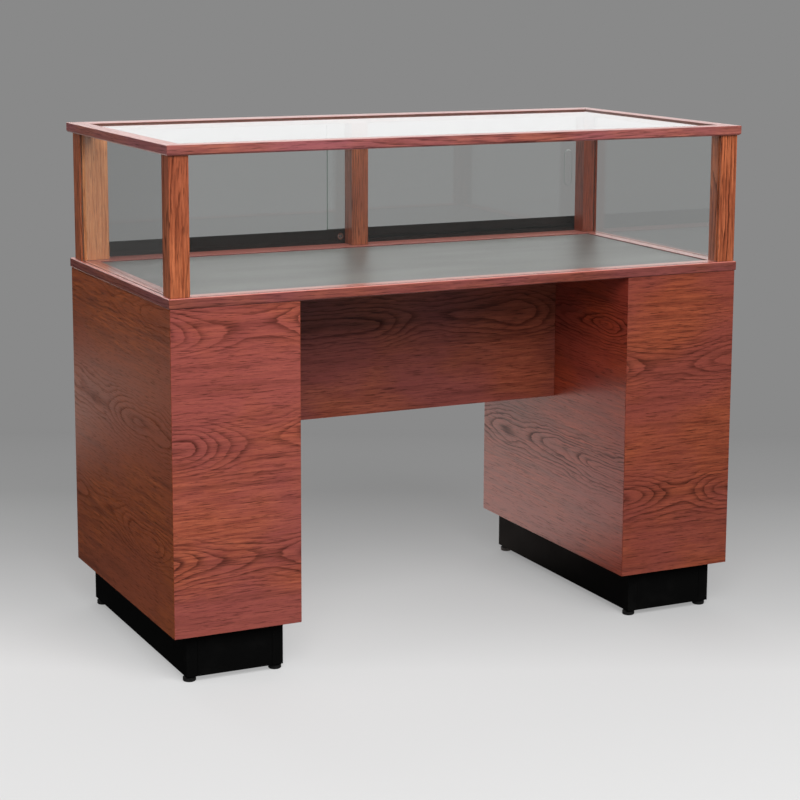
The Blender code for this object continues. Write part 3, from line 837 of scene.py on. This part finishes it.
# The back middle and back right posts take darker copies of the post stain, the back right one also redder:
# painted shade
back_middle_shaded_stain = tinted(POST, red=0.80, green=0.80, blue=0.80)
back_right_shaded_stain = tinted(POST, red=0.66, green=0.42, blue=0.25)
left_pane_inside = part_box("glass_left")[1][0]
front_post = oak("front_post", along="z", stain=POST, lines=POST_LINES, cut=POST_CUT)
back_middle_post_painted_shade = oak("back_middle_post_painted_shade", along="z", stain=back_middle_shaded_stain, lines=POST_LINES, cut=POST_CUT)
back_right_post_painted_shade = oak("back_right_post_painted_shade", along="z", stain=back_right_shaded_stain, lines=POST_LINES, cut=POST_CUT)
back_left_post = oak(
    "back_left_post",
    along="z",
    stain=POST,
    lines=POST_LINES,
    cut=POST_CUT,
    painted_forward_light=HONEY_PAINTED_LIGHT,
    forward_light_from=left_pane_inside,
)
dress(["post_front_left", "post_front_right"], front_post, WOOD_EASE)
dress(["post_back_middle"], back_middle_post_painted_shade, WOOD_EASE)
dress(["post_back_right"], back_right_post_painted_shade, WOOD_EASE)
dress(["post_back_left", "door_jamb_left"], back_left_post, WOOD_EASE)

# Panes, seal, doors and lock

door_metal = ["door_track_lower", "door_track_upper", "left_door_shoe", "right_door_shoe"]
dress(["glass_front"], glass("clear_glass_across_y", "y"))
dress(["glass_left", "glass_right"], glass("clear_glass_across_x", "x"))
dress(["glass_top"], glass("clear_glass_across_z", "z"))
dress(["top_glass_seal"], sealant("seal_silicone"))
for hand in ("left", "right"):
    dress([f"{hand}_door_glass"], door_glass(hand), GLASS_EASE)
dress(door_metal, black_metal("black_anodised_drawn"), METAL_EASE)
dress(["lock_sleeve", "lock_plunger", "lock_strike"], chrome("lock_chrome_polished"))


# Stage, light and camera


def floor_disc():
    """Round floor, turned so that its Y axis runs along the view."""
    angles = [math.tau * i / FLOOR_SIDES for i in range(FLOOR_SIDES)]
    rim = [(FLOOR_RADIUS * math.cos(angle), FLOOR_RADIUS * math.sin(angle), 0.0) for angle in angles]
    mesh = bpy.data.meshes.new("floor")
    mesh.from_pydata(rim, [], [tuple(range(FLOOR_SIDES))])
    floor = bpy.data.objects.new("floor", mesh)
    floor.rotation_euler = (0.0, 0.0, -math.radians(CAMERA_YAW))
    bpy.context.scene.collection.objects.link(floor)
    return floor


def floor_seen(graph):
    """Floor as the camera sees it, which turns grey behind the case, as on a graded studio sheet."""
    _, along, _ = graph.axes(graph.object_place())
    near, far = FLOOR_TONES[0][0], FLOOR_TONES[-1][0]
    stops = [((place - near) / (far - near), grey) for place, grey in FLOOR_TONES]
    tone = graph.ramp(graph.span(along, (near, far)), stops)
    glow = graph.span(along, GLOW_SPAN, FLOOR_GLOW, smooth=True)
    return graph.either(glow, graph.diffuse(tone), graph.emission(tone))


def floor_sheen(graph):
    """Floor as gloss shows it: a pale patch behind the case that glows, a painted reflection, and dark
    elsewhere.
    """
    east, north, _ = graph.axes(graph.node("ShaderNodeNewGeometry").outputs["Position"])
    from_south = graph.span(north, SHEEN_SOUTH, smooth=True)
    to_north = graph.span(north, SHEEN_NORTH, FALLING, smooth=True)
    slanted = graph.math("MULTIPLY_ADD", north, SHEEN_SLANT, east)
    from_west = graph.span(slanted, SHEEN_WEST, smooth=True)
    patch = graph.math("MULTIPLY", from_west, graph.math("MULTIPLY", from_south, to_north))
    return graph.emission(graph.mix(patch, SHEEN_DARK, SHEEN_PALE))


def add_floor():
    floor = floor_disc()
    material, graph = new_material("graded_floor")
    path = graph.node("ShaderNodeLightPath")
    bounce = graph.diffuse(opaque(FLOOR_BOUNCE))
    unseen = graph.either(path.outputs["Is Glossy Ray"], bounce, floor_sheen(graph))
    viewed = graph.math("MAXIMUM", path.outputs["Is Camera Ray"], path.outputs["Is Transmission Ray"])
    graph.surface(graph.either(viewed, unseen, floor_seen(graph)))
    floor.data.materials.append(material)


def add_world():
    world = bpy.data.worlds.new("studio")
    world.use_nodes = True
    bpy.context.scene.world = world
    graph = Graph(world.node_tree)
    path = graph.node("ShaderNodeLightPath")
    white = opaque(WHITE)
    mixed = graph.node("ShaderNodeBackground", {"Color": white, "Strength": WORLD_STRENGTH}).outputs[0]
    for ray, strength in WORLD_GREYS.items():
        grey = graph.node("ShaderNodeBackground", {"Color": white, "Strength": strength}).outputs[0]
        mixed = graph.either(path.outputs[ray], mixed, grey)
    graph.node("ShaderNodeOutputWorld", {"Surface": mixed})


def add_softbox(name, place, target, width, height, radiance, mirrored=False):
    """Rectangular light of even radiance that faces the target and that the camera can't see.

    If mirrored, it shows in glass and in gloss.
    """
    light = bpy.data.lights.new(name, "AREA")
    light.shape = "RECTANGLE"
    light.size = width
    light.size_y = height
    light.energy = radiance * LAMP_WATTS * width * height
    box = bpy.data.objects.new(name, light)
    box.location = place
    box.rotation_euler = (Vector(target) - Vector(place)).to_track_quat("-Z", "Y").to_euler()
    box.visible_camera = False
    box.visible_glossy = mirrored
    box.visible_transmission = mirrored
    bpy.context.scene.collection.objects.link(box)


def add_camera():
    """Camera turned by its yaw and pitch, and then rolled about its view."""
    yaw, pitch, roll = (math.radians(angle) for angle in (CAMERA_YAW, CAMERA_PITCH, CAMERA_ROLL))
    forward = Vector((math.sin(yaw) * math.cos(pitch), math.cos(yaw) * math.cos(pitch), -math.sin(pitch)))
    level = Vector((math.cos(yaw), -math.sin(yaw), 0.0))
    upright = level.cross(forward)
    right = math.cos(roll) * level + math.sin(roll) * upright
    up = math.cos(roll) * upright - math.sin(roll) * level
    turn = Matrix((right, up, -forward)).transposed()
    data = bpy.data.cameras.new("camera")
    data.sensor_width = CAMERA_SENSOR
    data.lens = CAMERA_LENS
    data.shift_y = CAMERA_SHIFT
    camera = bpy.data.objects.new("camera", data)
    camera.matrix_world = Matrix.Translation(CAMERA_PLACE) @ turn.to_4x4()
    bpy.context.scene.collection.objects.link(camera)
    bpy.context.scene.camera = camera


add_floor()
add_world()
for softbox, settings in SOFTBOXES.items():
    add_softbox(softbox, **settings)
add_camera()

scene = bpy.context.scene
scene.view_settings.view_transform = "Standard"
